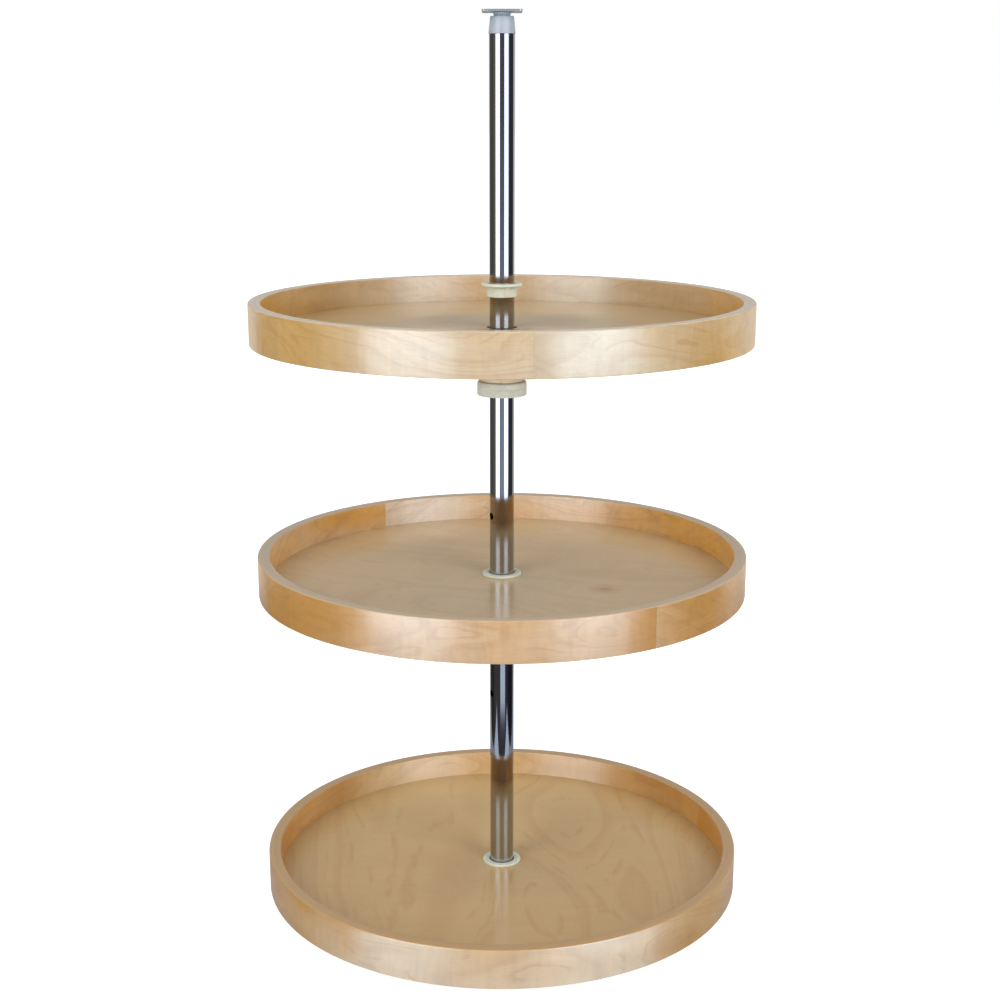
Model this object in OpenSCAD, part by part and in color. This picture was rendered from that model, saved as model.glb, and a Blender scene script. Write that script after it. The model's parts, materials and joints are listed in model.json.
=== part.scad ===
// Three-tier rotating pantry unit: round rimmed wooden shelves that turn on one chrome post.
// Millimetres. +Z runs up the post, and the origin is the centre of the floor plate's underside.
// Angles are measured from +X about +Z; the front of the unit faces -Y.

/* [Heights up the post] */
// Bare post between the bottom end cap and the lowest collar
bottom_bare = 12; // [10:0.1:40]
// Rise from the bottom shelf's underside to the middle shelf's
lower_rise = 329; // [260:0.5:420]
// Rise from the middle shelf's underside to the top shelf's
upper_rise = 259.7; // [225:0.1:400]
// Length of post above the top shelf's underside
head_rise = 295.8; // [200:0.1:450]
// Depth of the spare pin hole below the middle shelf's underside
middle_spare_drop = 119.1; // [90:0.1:160]
// Depth of the spare pin hole below the top shelf's underside
top_spare_drop = 183.1; // [90:0.1:190]

/* [Shelves] */
// Outside diameter of every shelf
shelf_d = 508; // [400:1:720]
// Height of the rim
rim_h = 41.3; // [25:0.1:60]
// Thickness of each of the two bent hoops that make up a rim
hoop_t = 6.3; // [4:0.1:9]
// Thickness of the round floor panel
panel_t = 12.7; // [11:0.1:19]
// Film of glue between the hoops, and between rim and floor panel
glue_gap = 0.1; // [0.05:0.01:0.2]
// Radius that eases the upper edges of the rim
rim_ease = 1.5; // [0.5:0.1:3]
// Radius that eases the lower outside edge of the rim
rim_foot_ease = 0.8; // [0.3:0.1:2]
// Width of the joint where the two ends of a hoop meet
seam_w = 0.2; // [0.1:0.05:0.5]
// Direction of the outer hoop's joint on the bottom shelf
bottom_seam_az = 200; // [0:1:360]
// Direction of the outer hoop's joint on the middle shelf
middle_seam_az = 304.3; // [0:0.1:360]
// Direction of the outer hoop's joint on the top shelf
top_seam_az = 276.2; // [0:0.1:360]

/* [Post] */
// Outside diameter of the post
post_d = 25.4; // [22:0.1:32]
// Wall of the post
post_wall = 1.2; // [0.8:0.1:2]
// Radial running clearance of collars and hubs on the post
run_clear = 0.1; // [0.05:0.01:0.2]

/* [Cross pins] */
// Diameter of the pins that carry the collars
pin_d = 7.5; // [5:0.1:8]
// Radial clearance of a pin in its hole through the post
pin_clear = 0.1; // [0.05:0.01:0.2]
// Direction of the cross pins and their holes
pin_az = 27; // [0:1:180]
// Collar wall that hides each end of a pin
pin_end_wall = 3.4; // [2:0.1:5]
// Height of a pin's underside above the collar's underside
pin_recess = 0.8; // [0.4:0.1:1.2]

/* [Collar and hub] */
// Height of the collar that sits on a pin
collar_h = 14.2; // [13.5:0.1:20]
// How far the collar stands out past the hub
collar_step = 3.2; // [1:0.1:6]
// Radius of the collar's upper edge
collar_ease = 2; // [0.5:0.1:3]
// Height of the hub under a shelf
hub_h = 41.3; // [35:0.1:48]
// Open seam between collar and hub
race_gap = 0.6; // [0.4:0.1:1.2]
// Wall on each side of the ball race
race_lip = 1.9; // [1.2:0.1:3]
// Thickness of the hub's flange
hub_flange_t = 3; // [2:0.1:5]
// Width of the hub's flange outside its barrel
hub_flange_w = 15.8; // [12:0.1:25]
// Radius of the flange's lower edge
hub_flange_ease = 1; // [0.3:0.1:1.5]
// Depth of the relief inside the hub, which leaves a bearing land at each end
hub_relief = 2.7; // [1:0.1:4]
// Height of the bearing lands at the ends of the hub
hub_land_h = 7; // [5:0.1:12]

/* [Ball race] */
// Diameter of the bearing balls
ball_d = 4; // [3:0.1:5]
// Number of balls in a race
ball_count = 12; // [6:1:14]
// Room beside the balls, on each side of the race
race_side = 0.8; // [0.5:0.1:1.2]
// Clearance of the balls in their cage and of the cage in the race
cage_clear = 0.1; // [0.05:0.01:0.2]
// Thickness of the ball cage
cage_t = 1.4; // [1:0.1:2]

/* [Hub screws] */
// Number of screws through a hub's flange
screw_count = 4; // [3:1:6]
// Diameter of the screws
screw_d = 4; // [3:0.1:5]
// Diameter of the screw heads
screw_head_d = 8; // [6.5:0.1:9]
// Height of the screw heads
screw_head_h = 2.4; // [1.8:0.1:3]
// Wood left above the tip of a screw
screw_cover = 3.2; // [2:0.1:6]
// Radial clearance of a screw in the hub's flange
screw_clear = 0.2; // [0.1:0.05:0.5]
// Direction of the first screw
screw_az = 45; // [0:1:90]

/* [Bushes] */
// Wall of the bush's body
bush_wall = 1.7; // [1.2:0.1:3]
// Height of the bush's body below its flange
bush_body_h = 11; // [6:0.1:11]
// Width of the bush's flange outside its body
bush_flange_w = 5.6; // [3:0.1:9]
// Thickness of the bush's flange
bush_flange_t = 2.5; // [1.5:0.1:4]
// Radial clearance of the bush on the post
bush_bore_clear = 0.5; // [0.2:0.05:0.8]
// Radial clearance of the bush in the floor panel's hole
bush_seat_clear = 0.5; // [0.2:0.05:1]
// Bevel of the flange's outer and inner edges
bush_bevel = 0.9; // [0.3:0.1:1.2]
// Height to which the top shelf's bush is pushed up the post
top_bush_lift = 41.8; // [0:0.1:200]

/* [Post ends] */
// Height of the cap that stands out of the post
cap_h = 16.3; // [10:0.1:25]
// How far the cap's wide end overhangs the post
cap_lip = 0.5; // [0.2:0.1:1]
// Draw of the cap's side, from its wide end to its narrow end
cap_draw = 1.65; // [0.5:0.05:2.2]
// Room inside the post between a cap's spigot and the nearest pin
spigot_clear = 1.8; // [0.5:0.1:3]
// Diameter of the pivot's shank in the cap
shank_d = 12; // [10:0.1:13]
// How far the pivot's shank stops short of the spigot's end
shank_back = 1.3; // [0.5:0.1:3]
// Height of the pivot's ribbed head
head_h = 3.3; // [2.5:0.1:6]
// Width of the head outside its shank, at the cap
head_step = 1.7; // [1:0.1:2.5]
// Flare of the head's side towards the plate
head_flare = 1.6; // [0.5:0.1:3]
// Number of ribs round the head
rib_count = 16; // [8:1:24]
// Depth of the grooves between the ribs
rib_depth = 0.7; // [0.3:0.1:1.2]

/* [Mounting plates] */
// Side of the square floor and ceiling plates
plate_w = 39; // [36:0.5:60]
// Thickness of the plates
plate_t = 1.9; // [1.5:0.1:3]
// Corner radius of the plates
plate_r = 2.5; // [1:0.1:6]
// Spacing of the plates' screw holes
plate_hole_pitch = 28; // [27:0.1:29]
// Diameter of the plates' screw holes
plate_hole_d = 4.5; // [3:0.1:5]
// Gap between a plate and the head of its pivot
swivel_gap = 0.3; // [0.2:0.05:0.6]
// Diameter of the rivet that the pivot turns on
rivet_d = 6; // [4:0.1:7]
// Diameter of the rivet's flush head
rivet_head_d = 9; // [8:0.1:11]
// Reach of the rivet into the pivot
rivet_reach = 15; // [8:0.5:16]

/* [Hidden] */
$fn = 96;
big_fn = 240;
rest_gap = 0.05;   // hair between pieces that lie face to face
over = 1;          // how far a cutter runs past the face that it opens

// Rim and floor panel
rim_r = shelf_d / 2;
outer_hoop_r = rim_r - hoop_t;
inner_hoop_out_r = outer_hoop_r - glue_gap;
inner_hoop_r = inner_hoop_out_r - hoop_t;
panel_r = inner_hoop_r - glue_gap;

// Post, and what runs on it
post_r = post_d / 2;
bore_r = post_r + run_clear;
pitch_r = bore_r + race_lip + race_side + ball_d / 2;
hub_r = bore_r + 2 * race_lip + 2 * race_side + ball_d;
collar_r = hub_r + collar_step;
race_h = ball_d + 2 * rest_gap;
race_depth = (race_h - race_gap) / 2;
race_half_w = ball_d / 2 + race_side;

// Heights under a shelf, from the shelf's underside
hub_foot = -hub_h;
race_mid = hub_foot - race_gap / 2;
collar_top = hub_foot - race_gap;
collar_foot = collar_top - collar_h;
pin_z = collar_foot + pin_recess + pin_d / 2;
pin_half = collar_r - pin_end_wall;

// Bush
bush_bore_r = post_r + bush_bore_clear;
bush_body_r = bush_bore_r + bush_wall;
bush_flange_r = bush_body_r + bush_flange_w;
panel_hole_r = bush_body_r + bush_seat_clear;

// Hub screws
hub_flange_r = hub_r + hub_flange_w;
screw_circle_r = hub_r + hub_flange_w / 2;
screw_bite = panel_t - screw_cover;
screw_tip_h = screw_d / 2;
screw_tip_r = screw_d / 20;

// Stack of plate, pivot and cap at each end of the post
cap_end_z = head_h + rest_gap + swivel_gap + plate_t;
post_foot_z = cap_end_z + cap_h;
spigot_r = post_r - post_wall - rest_gap;
spigot_h = bottom_bare + pin_recess - spigot_clear;
shank_r = shank_d / 2;
shank_h = cap_h + spigot_h - shank_back;
head_r = shank_r + head_step;
rivet_r = rivet_d / 2;
rivet_bore_r = rivet_r + run_clear;
rivet_end = head_h - rivet_reach;
thrust_ball_d = rivet_d;
rivet_bore_end = rivet_end - thrust_ball_d - 2 * rest_gap;

// Heights above the cabinet floor
bottom_shelf_z = post_foot_z + bottom_bare - collar_foot;
middle_shelf_z = bottom_shelf_z + lower_rise;
top_shelf_z = middle_shelf_z + upper_rise;
post_head_z = top_shelf_z + head_rise;

wood = [0.82, 0.69, 0.51];
wood_panel = [0.74, 0.65, 0.50];
nylon = [0.80, 0.81, 0.75];
cap_grey = [0.76, 0.79, 0.85];
pivot_blue = [0.52, 0.58, 0.63];
chrome = [0.72, 0.73, 0.75];
zinc = [0.68, 0.69, 0.68];
steel = [0.60, 0.61, 0.62];

// ---- Helpers ----

// Puts a piece that is drawn from a shelf's underside onto that shelf
module on_shelf(z) {
    translate([0, 0, z]) children();
}

// Puts a piece of the lower post end, drawn upside down from the cap's narrow end
module at_floor() {
    translate([0, 0, cap_end_z]) mirror([0, 0, 1]) children();
}

// Puts a piece of the upper post end, drawn from the cap's narrow end
module at_ceiling() {
    translate([0, 0, post_head_z + cap_h]) children();
}

// Repeats a piece round the post
module ring_of(count, radius, start = 0) {
    for (i = [0 : count - 1])
        rotate([0, 0, start + i * 360 / count]) translate([radius, 0, 0]) children();
}

// Straight rod up the Z axis, also used as the cutter of a bore
module rod(r, z0, z1) {
    translate([0, 0, z0]) cylinder(r = r, h = z1 - z0);
}

// Profile cutter that rounds a corner at [x, z]; sx and sz give the side that the corner points to
module corner_cut(x, z, r, sx, sz) {
    translate([x, z]) scale([sx, sz]) translate([-r, -r]) difference() {
        square(r + over);
        circle(r = r, $fn = 48);
    }
}

// Cutter for a horizontal cross pin of radius r, reaching half_len each side of the post's axis
module cross_bar(r, half_len) {
    rotate([0, 0, pin_az]) rotate([0, 90, 0]) translate([0, 0, -half_len])
        cylinder(r = r, h = 2 * half_len);
}

// ---- Shelf ----

// Cuts the joint where a hoop's ends meet
module seam(r_in, az) {
    rotate([0, 0, az]) translate([r_in - over, -seam_w / 2, -over])
        cube([hoop_t + 2 * over, seam_w, rim_h + 2 * over]);
}

// Outer hoop of a rim, a strip bent round until its ends meet
module outer_hoop(az) {
    color(wood) difference() {
        rotate_extrude($fn = big_fn) difference() {
            translate([outer_hoop_r, 0]) square([hoop_t, rim_h]);
            corner_cut(rim_r, rim_h, rim_ease, 1, 1);
            corner_cut(rim_r, 0, rim_foot_ease, 1, -1);
        }
        seam(outer_hoop_r, az);
    }
}

// Inner hoop of a rim, its joint opposite the outer hoop's
module inner_hoop(outer_az) {
    color(wood) difference() {
        rotate_extrude($fn = big_fn) difference() {
            translate([inner_hoop_r, 0]) square([hoop_t, rim_h]);
            corner_cut(inner_hoop_r, rim_h, rim_ease, -1, 1);
        }
        seam(inner_hoop_r, outer_az + 180);
    }
}

// Round floor panel with its centre hole and the pilot holes of the hub's screws
module floor_panel() {
    color(wood_panel) difference() {
        cylinder(r = panel_r, h = panel_t, $fn = big_fn);
        rod(panel_hole_r, -over, panel_t + over);
        ring_of(screw_count, screw_circle_r, screw_az)
            rod(screw_d / 2 + rest_gap, -over, screw_bite + rest_gap);
    }
}

// Hub under the shelf: flange, barrel, two bearing lands and the upper ball race
module hub() {
    color(nylon) difference() {
        rotate_extrude() difference() {
            union() {
                translate([bore_r, hub_foot]) square([hub_r - bore_r, hub_h - rest_gap]);
                translate([bore_r, -hub_flange_t])
                    square([hub_flange_r - bore_r, hub_flange_t - rest_gap]);
            }
            translate([pitch_r - race_half_w, hub_foot - over])
                square([2 * race_half_w, race_depth + over]);
            translate([bore_r - over, hub_foot + hub_land_h])
                square([hub_relief + over, hub_h - 2 * hub_land_h]);
            corner_cut(hub_flange_r, -hub_flange_t, hub_flange_ease, 1, -1);
        }
        ring_of(screw_count, screw_circle_r, screw_az)
            rod(screw_d / 2 + screw_clear, -hub_flange_t - over, over);
    }
}

// Screws that hold the hub to the floor panel, with cross recesses
module hub_screws() {
    head_z = -hub_flange_t - rest_gap;
    slot_w = screw_head_d / 8;
    slot_l = screw_head_d * 0.55;
    color(zinc) ring_of(screw_count, screw_circle_r, screw_az) difference() {
        union() {
            translate([0, 0, head_z]) cylinder(r = screw_d / 2, h = screw_bite - head_z - screw_tip_h);
            translate([0, 0, screw_bite - screw_tip_h])
                cylinder(r1 = screw_d / 2, r2 = screw_tip_r, h = screw_tip_h - rest_gap);
            rotate_extrude() difference() {
                translate([0, head_z - screw_head_h]) square([screw_head_d / 2, screw_head_h]);
                corner_cut(screw_head_d / 2, head_z - screw_head_h, screw_head_h * 0.6, 1, -1);
            }
        }
        for (a = [0, 90])
            rotate([0, 0, a]) translate([-slot_l / 2, -slot_w / 2, head_z - screw_head_h - over])
                cube([slot_l, slot_w, screw_head_h * 0.55 + over]);
    }
}

// Flanged bush that fills the gap between the floor panel and the post
module bush(lift) {
    seat = panel_t + rest_gap + lift;
    top = seat + bush_flange_t;
    foot = seat - bush_body_h;
    color(nylon) rotate_extrude() difference() {
        union() {
            translate([bush_bore_r, seat]) square([bush_flange_r - bush_bore_r, bush_flange_t]);
            translate([bush_bore_r, foot]) square([bush_wall, bush_body_h + bush_flange_t / 2]);
        }
        translate([bush_flange_r, top]) rotate(45) square(bush_bevel * sqrt(2), center = true);
        translate([bush_bore_r, top]) rotate(45) square(bush_bevel * sqrt(2), center = true);
        corner_cut(bush_body_r, foot, bush_wall / 2, 1, -1);
    }
}

// ---- Carrier on the post ----

// Collar that sits over a cross pin and holds the lower ball race
module collar() {
    slot_r = pin_d / 2 + pin_clear;
    color(nylon) difference() {
        rotate_extrude() difference() {
            translate([bore_r, collar_foot]) square([collar_r - bore_r, collar_h]);
            translate([pitch_r - race_half_w, collar_top - race_depth])
                square([2 * race_half_w, race_depth + over]);
            corner_cut(collar_r, collar_top, collar_ease, 1, 1);
            corner_cut(collar_r, collar_foot, collar_ease / 2, 1, -1);
        }
        rotate([0, 0, pin_az])
            translate([-pin_half - pin_clear, -slot_r, collar_foot - over])
            cube([2 * (pin_half + pin_clear), 2 * slot_r, pin_z + pin_d / 2 + rest_gap - collar_foot + over]);
    }
}

// Cross pin through the post
module pin() {
    color(steel) translate([0, 0, pin_z]) cross_bar(pin_d / 2, pin_half);
}

// Flat cage that keeps the balls apart
module ball_cage() {
    half_w = race_half_w - 2 * cage_clear;
    color(cap_grey) translate([0, 0, race_mid - cage_t / 2]) difference() {
        cylinder(r = pitch_r + half_w, h = cage_t);
        rod(pitch_r - half_w, -over, cage_t + over);
        ring_of(ball_count, pitch_r) rod(ball_d / 2 + cage_clear, -over, cage_t + over);
    }
}

// Balls that roll between collar and hub
module bearing_balls() {
    color(steel) translate([0, 0, race_mid]) ring_of(ball_count, pitch_r)
        sphere(d = ball_d, $fn = 32);
}

// ---- Post and its ends ----

// Chrome tube with through holes for the pins, three in use and two spare
module post_tube() {
    hole_r = pin_d / 2 + pin_clear;
    pin_heights = [for (z = [bottom_shelf_z, middle_shelf_z, top_shelf_z]) z + pin_z];
    spare_heights = [middle_shelf_z - middle_spare_drop, top_shelf_z - top_spare_drop];
    color(chrome) difference() {
        rod(post_r, post_foot_z, post_head_z);
        rod(post_r - post_wall, post_foot_z - over, post_head_z + over);
        for (z = concat(pin_heights, spare_heights))
            translate([0, 0, z]) cross_bar(hole_r, post_r + over);
    }
}

// Tapered end cap: its spigot fills the tube and its bore guides the pivot's shank
module end_cap() {
    wide_r = post_r + cap_lip;
    narrow_r = wide_r - cap_draw;
    edge = 0.6;
    color(cap_grey) difference() {
        union() {
            translate([0, 0, -cap_h + rest_gap]) cylinder(r1 = wide_r, r2 = narrow_r, h = cap_h - rest_gap - edge);
            translate([0, 0, -edge]) cylinder(r1 = narrow_r, r2 = narrow_r - edge, h = edge);
            translate([0, 0, -cap_h - spigot_h]) cylinder(r = spigot_r, h = spigot_h + over);
        }
        rod(shank_r + run_clear, -cap_h - spigot_h - over, over);
    }
}

// Pivot: a shank in the cap and a ribbed head under the plate, with a blind bore for the rivet
module pivot() {
    bottom = rest_gap;
    top = rest_gap + head_h;
    color(pivot_blue) difference() {
        union() {
            intersection() {
                translate([0, 0, bottom]) cylinder(r1 = head_r, r2 = head_r + head_flare, h = head_h);
                union() {
                    rod(head_r - rib_depth, bottom, top);
                    ring_of(rib_count, 0) translate([0, -rib_depth, bottom])
                        cube([head_r + head_flare + over, 2 * rib_depth, head_h]);
                }
            }
            rod(shank_r, -shank_h, top);
        }
        rod(rivet_bore_r, rivet_bore_end, top + over);
    }
}

// Rivet with a flush head in the plate; the pivot turns on its shank
module rivet() {
    plate_z = rest_gap + head_h + swivel_gap;
    outside = plate_z + plate_t - rest_gap;
    cone_h = rivet_head_d / 2 - rivet_r;
    color(steel) union() {
        translate([0, 0, outside - cone_h])
            cylinder(r1 = rivet_r, r2 = rivet_head_d / 2, h = cone_h);
        rod(rivet_r, rivet_end, outside - cone_h / 2);
    }
}

// Square steel plate with four screw holes and a countersunk hole for the rivet
module plate() {
    plate_z = rest_gap + head_h + swivel_gap;
    half = plate_w / 2 - plate_r;
    cone_h = rivet_head_d / 2 - rivet_r;
    color(zinc) translate([0, 0, plate_z]) difference() {
        linear_extrude(plate_t) union() {
            square([plate_w, 2 * half], center = true);
            square([2 * half, plate_w], center = true);
            for (x = [-half, half], y = [-half, half])
                translate([x, y]) circle(r = plate_r);
        }
        for (x = [-1, 1], y = [-1, 1])
            translate([x, y, 0] * plate_hole_pitch / 2) rod(plate_hole_d / 2, -over, plate_t + over);
        rod(rivet_r + rest_gap, -over, plate_t + over);
        translate([0, 0, plate_t - cone_h - rest_gap])
            cylinder(r1 = rivet_r + rest_gap, r2 = rivet_head_d / 2 + rest_gap, h = cone_h + rest_gap);
        rod(rivet_head_d / 2 + rest_gap, plate_t - rest_gap, plate_t + over);
    }
}

// Ball that carries the unit's weight between the floor rivet and its pivot
module thrust_ball() {
    color(steel) translate([0, 0, rivet_end - thrust_ball_d / 2 - rest_gap])
        sphere(d = thrust_ball_d, $fn = 48);
}

at_floor() plate();  // floor_plate
at_floor() rivet();  // floor_rivet
at_floor() pivot();  // floor_pivot
at_floor() thrust_ball();
at_floor() end_cap();  // bottom_cap
post_tube();
at_ceiling() end_cap();  // top_cap
at_ceiling() pivot();  // ceiling_pivot
at_ceiling() rivet();  // ceiling_rivet
at_ceiling() plate();  // ceiling_plate

on_shelf(bottom_shelf_z) pin();  // bottom_pin
on_shelf(bottom_shelf_z) collar();  // bottom_collar
on_shelf(bottom_shelf_z) ball_cage();  // bottom_ball_cage
on_shelf(bottom_shelf_z) bearing_balls();  // bottom_bearing_balls
on_shelf(bottom_shelf_z) hub();  // bottom_hub
on_shelf(bottom_shelf_z) hub_screws();  // bottom_hub_screws
on_shelf(bottom_shelf_z) floor_panel();  // bottom_floor_panel
on_shelf(bottom_shelf_z) inner_hoop(bottom_seam_az);  // bottom_inner_hoop
on_shelf(bottom_shelf_z) outer_hoop(bottom_seam_az);  // bottom_outer_hoop
on_shelf(bottom_shelf_z) bush(0);  // bottom_bush

on_shelf(middle_shelf_z) pin();  // middle_pin
on_shelf(middle_shelf_z) collar();  // middle_collar
on_shelf(middle_shelf_z) ball_cage();  // middle_ball_cage
on_shelf(middle_shelf_z) bearing_balls();  // middle_bearing_balls
on_shelf(middle_shelf_z) hub();  // middle_hub
on_shelf(middle_shelf_z) hub_screws();  // middle_hub_screws
on_shelf(middle_shelf_z) floor_panel();  // middle_floor_panel
on_shelf(middle_shelf_z) inner_hoop(middle_seam_az);  // middle_inner_hoop
on_shelf(middle_shelf_z) outer_hoop(middle_seam_az);  // middle_outer_hoop
on_shelf(middle_shelf_z) bush(0);  // middle_bush

on_shelf(top_shelf_z) pin();  // top_pin
on_shelf(top_shelf_z) collar();  // top_collar
on_shelf(top_shelf_z) ball_cage();  // top_ball_cage
on_shelf(top_shelf_z) bearing_balls();  // top_bearing_balls
on_shelf(top_shelf_z) hub();  // top_hub
on_shelf(top_shelf_z) hub_screws();  // top_hub_screws
on_shelf(top_shelf_z) floor_panel();  // top_floor_panel
on_shelf(top_shelf_z) inner_hoop(top_seam_az);  // top_inner_hoop
on_shelf(top_shelf_z) outer_hoop(top_seam_az);  // top_outer_hoop
on_shelf(top_shelf_z) bush(top_bush_lift);  // top_bush
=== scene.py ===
"""Looks of a three-tier rotating pantry unit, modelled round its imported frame."""

import json
import math

import bmesh
import bpy
from bpy.props import FloatProperty, FloatVectorProperty, IntProperty, PointerProperty
from mathutils import Matrix, Vector


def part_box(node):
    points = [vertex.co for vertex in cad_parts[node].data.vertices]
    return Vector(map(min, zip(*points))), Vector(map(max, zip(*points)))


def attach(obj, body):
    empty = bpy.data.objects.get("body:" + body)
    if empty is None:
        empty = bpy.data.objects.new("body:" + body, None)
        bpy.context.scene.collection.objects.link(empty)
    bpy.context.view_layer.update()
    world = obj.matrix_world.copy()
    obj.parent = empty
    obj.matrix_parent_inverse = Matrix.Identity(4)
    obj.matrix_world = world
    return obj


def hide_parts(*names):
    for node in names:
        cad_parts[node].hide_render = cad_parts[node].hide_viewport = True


bl_info = {
    "name": "Rotating pantry shelves",
    "version": (1, 0, 0),
    "blender": (4, 5, 0),
    "location": "3D View > Sidebar > Pantry",
    "description": "Finishes a three-tier rotating pantry unit",
    "category": "Object",
}

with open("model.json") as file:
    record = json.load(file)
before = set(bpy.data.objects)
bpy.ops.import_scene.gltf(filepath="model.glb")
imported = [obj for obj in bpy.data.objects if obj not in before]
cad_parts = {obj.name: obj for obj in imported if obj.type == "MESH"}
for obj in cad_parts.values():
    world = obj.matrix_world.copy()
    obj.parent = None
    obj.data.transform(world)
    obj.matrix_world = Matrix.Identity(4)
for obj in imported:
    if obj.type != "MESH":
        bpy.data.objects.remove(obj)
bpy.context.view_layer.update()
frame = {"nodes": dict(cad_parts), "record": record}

SHELVES = ("bottom", "middle", "top")
CENTRE = (0.0, 0.0, 0.0)
UP = (0.0, 0.0, 1.0)
FULL_TURN = 2 * math.pi
SHARP = 32.0  # degrees from which a piece's edges shade sharp
RIM_SHARP = 50.0  # the same for the hoops, whose easings are narrow

# Lengths in metres.
FINE_EDGE = 0.0002  # rounding of the mouldings' finest edges
SMALL_EDGE = 0.0003  # of their small ones
HUB_EDGE = 0.001  # of a hub's corners
BARREL_EDGE = 0.0004  # of the foot of its barrel
SHANK_EDGE = 0.0005  # of the end of a pivot's shank
SPIGOT_EDGE = 0.0008  # and of a cap's spigot
CAP_GAP = 0.00005  # between the tube and a cap
SHANK_GAP = 0.0001  # between a pivot's shank and its cap
OVERSHOOT = 0.001  # that a drill runs past what it cuts
TOUCH = 1e-5  # by which two equal lengths may differ
PLY = 0.00158  # thickness of one ply

WAIST = 0.52  # share of a collar's height where its knurled band ends
GROOVE = 1.6  # depth of the groove above that band, in depths of the knurl
TURNED_STEPS = 96  # facets round hubs and caps
ROD_STEPS = 48  # round pins' holes,
SCREW_STEPS = 32  # round screws' holes in the hubs
PLATE_STEPS = 40  # and in the plates,
RIVET_STEPS = 64  # and round the rivets' holes
LYING = 0.6  # upward share of a normal above which its face counts as lying
SENSOR = 36.0  # millimetres, width of the camera's sensor

BODY_OF = {node: body for body, nodes in frame["record"]["behaviour"]["bodies"].items()
           for node in nodes}
SLOT_OF = {row["node"]: row["material_slot"] for row in frame["record"]["subparts"]}


# ---- Sizes and colours that a user would change ----


def length(default, note):
    return FloatProperty(description=note, default=default, min=0.0, precision=5,
                         unit="LENGTH", subtype="DISTANCE")


def turn(degrees, note):
    return FloatProperty(description=note, default=math.radians(degrees), unit="ROTATION",
                         subtype="ANGLE")


def offset(default, note):
    return FloatProperty(description=note, default=default, unit="LENGTH")


def count(default, note):
    return IntProperty(description=note, default=default, min=3)


def level(default, note):
    return FloatProperty(description=note, default=default, min=0.0)


def linear(value):
    """The linear share of a display's value from 0 to 1."""
    return value / 12.92 if value <= 0.04045 else ((value + 0.055) / 1.055) ** 2.4


def colour(red, green, blue, note):
    """A colour setting, from the 0 to 255 values that a paint chart lists."""
    chart = [linear(value / 255) for value in (red, green, blue)]
    return FloatVectorProperty(description=note, default=chart, size=3, min=0.0, max=1.0,
                               subtype="COLOR")


class ShelfSizes(bpy.types.PropertyGroup):
    glue_film: length(0.0001, "Film between the hoops, and between rim and board")
    rim_ease: length(0.0015, "Rounding of the rim's upper edges")
    foot_ease: length(0.0008, "Rounding of the rim's lower outside edge")
    seam_gap: length(0.0001, "Open joint between the two ends of a hoop")
    bottom_seam: turn(200.0, "Direction of the bottom shelf's outer seam")
    middle_seam: turn(304.3, "Direction of the middle shelf's outer seam")
    top_seam: turn(276.2, "Direction of the top shelf's outer seam")
    board_hole: length(0.0154, "Radius of the hole in a board")
    board_ease: length(0.0004, "Rounding of the board's edges")
    steps: count(240, "Facets round hoops and boards")


class PostSizes(bpy.types.PropertyGroup):
    wall: length(0.0012, "Wall of the chrome tube")
    end_ease: length(0.0003, "Rounding of the tube's cut ends")
    hole_radius: length(0.00385, "Radius of the cross holes")
    pin_turn: turn(27.0, "Direction of the cross pins and holes")
    lower_spare: length(0.1191, "Below the middle board's underside")
    upper_spare: length(0.1831, "Below the top board's underside")
    steps: count(160, "Facets round the tube")


class FittingSizes(bpy.types.PropertyGroup):
    bore_play: length(0.0005, "Clearance of a bush on the post")
    bush_wall: length(0.0017, "Wall of a bush")
    flange_height: length(0.0025, "Thickness of a bush's flange")
    flange_bevel: length(0.0009, "Bevel of the flange's edges")
    bush_rib_depth: length(0.0006, "Depth of the ribs round a bush's sleeve")
    bush_ribs: count(40, "Ribs round a bush's sleeve")
    run_play: length(0.0001, "Clearance of collars and hubs on the post")
    race_inset: length(0.0019, "Wall beside the ball race")
    race_width: length(0.0056, "Width of the ball race")
    race_depth: length(0.00175, "Depth of each half of the ball race")
    collar_ease: length(0.002, "Rounding of a collar's upper edge")
    knurl_depth: length(0.0004, "Depth of the fine ribs round a collar")
    knurl_ribs: count(120, "Ribs round a collar")
    barrel_radius: length(0.0222, "Radius of a hub's barrel")
    hub_flange: length(0.003, "Thickness of a hub's flange")
    hub_relief: length(0.0027, "Relief inside the barrel")
    hub_land: length(0.007, "Bearing land at each end of the barrel")
    screw_circle: length(0.0301, "Radius on which the hub's screws sit")
    screw_hole: length(0.0022, "Radius of the flange's screw holes")
    screws: count(4, "Screws through a hub's flange")


class EndSizes(bpy.types.PropertyGroup):
    cap_lip: length(0.0005, "Overhang of the cap's wide end")
    cap_draw: length(0.00165, "Taper of the cap's side")
    cap_edge: length(0.0007, "Rounding of the cap's narrow end")
    shank_radius: length(0.006, "Radius of the pivot's shank")
    rivet_bore: length(0.0031, "Radius of the bore in the pivot")
    rivet_reach: length(0.0179, "Depth of the bore from the head")
    head_height: length(0.0033, "Height of the ribbed head")
    head_flare: length(0.0016, "Flare of the ribbed head")
    rib_depth: length(0.0007, "Depth of the grooves between the ribs")
    ribs: count(16, "Ribs round the head")
    plate_corner: length(0.0025, "Corner radius of a plate")
    plate_edge: length(0.0002, "Rounding of a plate's edges")
    hole_pitch: length(0.028, "Spacing of a plate's screw holes")
    plate_hole: length(0.00225, "Radius of a plate's screw holes")
    rivet_hole: length(0.00305, "Radius of a plate's centre hole")
    rivet_head: length(0.00455, "Radius of the countersink for the rivet")


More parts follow.
